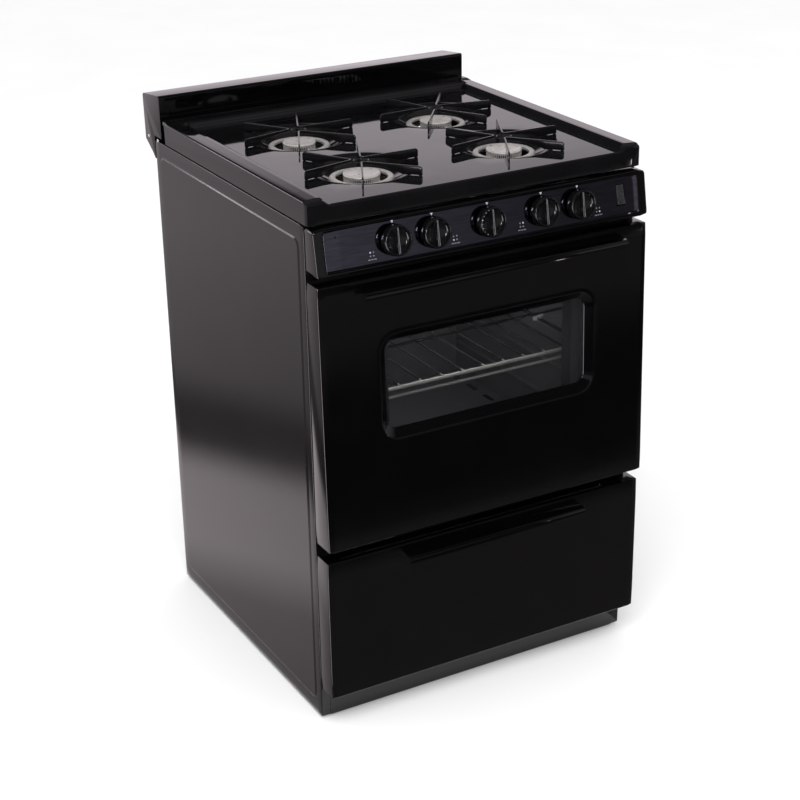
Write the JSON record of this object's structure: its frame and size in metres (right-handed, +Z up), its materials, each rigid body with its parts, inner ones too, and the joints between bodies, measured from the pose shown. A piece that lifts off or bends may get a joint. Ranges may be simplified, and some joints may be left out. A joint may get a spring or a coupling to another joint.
{
  "type": "freestanding gas range",
  "caption": "Freestanding gas range with open burners under wire grates, front knobs, a glass-windowed oven door and a storage drawer.",
  "frame": {"origin": "on the floor under the middle of the whole box", "axes": "+Z up, the door and knobs face -Y, +X to the right seen from the front"},
  "size_m": [0.61, 0.696, 0.947],
  "materials": {
    "porcelain_black": "glossy porcelain enamel",
    "galvanised_steel": "zinc coated, satin",
    "oven_enamel": "speckled oven enamel",
    "mineral_wool": "fibrous",
    "rubber_feet": "matte",
    "glass_fibre": "braided",
    "bare_steel": "satin",
    "lamp_glass": "clear",
    "rack_chrome": "polished",
    "window_glass": "dark tinted",
    "overlay_gloss": "glossy with fine lines",
    "rocker_plastic": "glossy",
    "knob_plastic": "semi gloss",
    "stem_brass": "machined",
    "valve_brass": "machined",
    "cast_aluminium": "cast, satin",
    "electrode_ceramic": "ceramic",
    "grate_enamel": "semi gloss enamel"
  },
  "bodies": {
    "chassis": {"side_panel_left": "porcelain_black", "side_panel_right": "porcelain_black", "rear_panel": "galvanised_steel", "base_frame": "galvanised_steel", "kick_plate": "porcelain_black", "front_frame": "galvanised_steel", "levelling_legs": "rubber_feet", "drawer_rails": "galvanised_steel", "oven_liner": "oven_enamel", "oven_insulation": "mineral_wool", "oven_floor_plate": "oven_enamel", "oven_burner": "bare_steel", "oven_lamp": "lamp_glass", "oven_gasket": "glass_fibre", "control_panel": "porcelain_black", "panel_overlay": "overlay_gloss", "manifold": "bare_steel", "burner_valves": "valve_brass", "thermostat": "valve_brass", "pressure_regulator": "cast_aluminium", "gas_inlet": "bare_steel", "power_inlet": "rubber_feet", "burner_tubes": "cast_aluminium", "burner_rails": "galvanised_steel", "burner_heads": "cast_aluminium", "spark_electrodes": "electrode_ceramic", "cooktop_hinge_pins": "galvanised_steel", "backguard": "porcelain_black"},
    "door": {"door_skin": "porcelain_black", "door_inner_panel": "galvanised_steel", "door_glass": "window_glass", "door_inner_glass": "window_glass", "door_handle": "porcelain_black", "door_hinge_cups": "galvanised_steel"},
    "drawer": {"drawer_front": "porcelain_black", "drawer_body": "galvanised_steel", "drawer_handle": "porcelain_black", "drawer_screws": "galvanised_steel"},
    "cooktop": {"cooktop": "porcelain_black"},
    "light_rocker": {"light_rocker": "rocker_plastic"},
    "oven_rack_lower": {"oven_rack_lower": "rack_chrome"},
    "oven_rack_upper": {"oven_rack_upper": "rack_chrome"},
    "grate_front_left": {"grate_front_left": "grate_enamel"},
    "burner_cap_front_left": {"burner_cap_front_left": "cast_aluminium"},
    "grate_front_right": {"grate_front_right": "grate_enamel"},
    "burner_cap_front_right": {"burner_cap_front_right": "cast_aluminium"},
    "grate_rear_left": {"grate_rear_left": "grate_enamel"},
    "burner_cap_rear_left": {"burner_cap_rear_left": "cast_aluminium"},
    "grate_rear_right": {"grate_rear_right": "grate_enamel"},
    "burner_cap_rear_right": {"burner_cap_rear_right": "cast_aluminium"},
    "stem_rear_left": {"stem_rear_left": "stem_brass"},
    "knob_rear_left": {"knob_rear_left": "knob_plastic"},
    "stem_front_left": {"stem_front_left": "stem_brass"},
    "knob_front_left": {"knob_front_left": "knob_plastic"},
    "stem_thermostat": {"stem_thermostat": "stem_brass"},
    "knob_thermostat": {"knob_thermostat": "knob_plastic"},
    "stem_front_right": {"stem_front_right": "stem_brass"},
    "knob_front_right": {"knob_front_right": "knob_plastic"},
    "stem_rear_right": {"stem_rear_right": "stem_brass"},
    "knob_rear_right": {"knob_rear_right": "knob_plastic"}
  },
  "joints": [
    {"name": "door_hinge", "type": "hinge", "parent": "chassis", "child": "door", "pos_m": [0, -0.302, 0.34], "axis": [1, 0, 0], "range_deg": [0, 90]},
    {"name": "drawer_slide", "type": "slide", "parent": "chassis", "child": "drawer", "axis": [0, -1, 0], "range_m": [0, 0.36]},
    {"name": "cooktop_hinge", "type": "hinge", "parent": "chassis", "child": "cooktop", "pos_m": [0, 0.264, 0.898], "axis": [-1, 0, 0], "range_deg": [0, 35]},
    {"name": "rack_slide_lower", "type": "slide", "parent": "chassis", "child": "oven_rack_lower", "axis": [0, -1, 0], "range_m": [0, 0.024]},
    {"name": "rack_slide_upper", "type": "slide", "parent": "chassis", "child": "oven_rack_upper", "axis": [0, -1, 0], "range_m": [0, 0.024]},
    {"name": "grate_lift_front_left", "type": "slide", "parent": "cooktop", "child": "grate_front_left", "axis": [0, 0, 1], "range_m": [0, 0.12]},
    {"name": "cap_lift_front_left", "type": "slide", "parent": "chassis", "child": "burner_cap_front_left", "axis": [0, 0, 1], "range_m": [0, 0.006]},
    {"name": "grate_lift_front_right", "type": "slide", "parent": "cooktop", "child": "grate_front_right", "axis": [0, 0, 1], "range_m": [0, 0.12]},
    {"name": "cap_lift_front_right", "type": "slide", "parent": "chassis", "child": "burner_cap_front_right", "axis": [0, 0, 1], "range_m": [0, 0.006]},
    {"name": "grate_lift_rear_left", "type": "slide", "parent": "cooktop", "child": "grate_rear_left", "axis": [0, 0, 1], "range_m": [0, 0.12]},
    {"name": "cap_lift_rear_left", "type": "slide", "parent": "chassis", "child": "burner_cap_rear_left", "axis": [0, 0, 1], "range_m": [0, 0.006]},
    {"name": "grate_lift_rear_right", "type": "slide", "parent": "cooktop", "child": "grate_rear_right", "axis": [0, 0, 1], "range_m": [0, 0.12]},
    {"name": "cap_lift_rear_right", "type": "slide", "parent": "chassis", "child": "burner_cap_rear_right", "axis": [0, 0, 1], "range_m": [0, 0.006]},
    {"name": "knob_turn_rear_left", "type": "hinge", "parent": "chassis", "child": "stem_rear_left", "pos_m": [-0.1685, -0.3041, 0.8295], "axis": [0, -0.9856, 0.1689], "range_deg": [0, 200]},
    {"name": "knob_push_rear_left", "type": "slide", "parent": "stem_rear_left", "child": "knob_rear_left", "axis": [0, 0.9856, -0.1689], "range_m": [0, 0.003], "stiffness_N_per_m": 600, "springref_m": -0.001},
    {"name": "knob_turn_front_left", "type": "hinge", "parent": "chassis", "child": "stem_front_left", "pos_m": [-0.0995, -0.3041, 0.8295], "axis": [0, -0.9856, 0.1689], "range_deg": [0, 200]},
    {"name": "knob_push_front_left", "type": "slide", "parent": "stem_front_left", "child": "knob_front_left", "axis": [0, 0.9856, -0.1689], "range_m": [0, 0.003], "stiffness_N_per_m": 600, "springref_m": -0.001},
    {"name": "knob_turn_thermostat", "type": "hinge", "parent": "chassis", "child": "stem_thermostat", "pos_m": [0, -0.3041, 0.8295], "axis": [0, -0.9856, 0.1689], "range_deg": [0, 270]},
    {"name": "knob_push_thermostat", "type": "slide", "parent": "stem_thermostat", "child": "knob_thermostat", "axis": [0, 0.9856, -0.1689], "range_m": [0, 0.003], "stiffness_N_per_m": 600, "springref_m": -0.001},
    {"name": "knob_turn_front_right", "type": "hinge", "parent": "chassis", "child": "stem_front_right", "pos_m": [0.1685, -0.3041, 0.8295], "axis": [0, -0.9856, 0.1689], "range_deg": [0, 200]},
    {"name": "knob_push_front_right", "type": "slide", "parent": "stem_front_right", "child": "knob_front_right", "axis": [0, 0.9856, -0.1689], "range_m": [0, 0.003], "stiffness_N_per_m": 600, "springref_m": -0.001},
    {"name": "knob_turn_rear_right", "type": "hinge", "parent": "chassis", "child": "stem_rear_right", "pos_m": [0.0995, -0.3041, 0.8295], "axis": [0, -0.9856, 0.1689], "range_deg": [0, 200]},
    {"name": "knob_push_rear_right", "type": "slide", "parent": "stem_rear_right", "child": "knob_rear_right", "axis": [0, 0.9856, -0.1689], "range_m": [0, 0.003], "stiffness_N_per_m": 600, "springref_m": -0.001},
    {"name": "rocker_tilt", "type": "hinge", "parent": "chassis", "child": "light_rocker", "pos_m": [0.251, -0.3001, 0.83034], "axis": [1, 0, 0], "range_deg": [0, 12]}
  ]
}
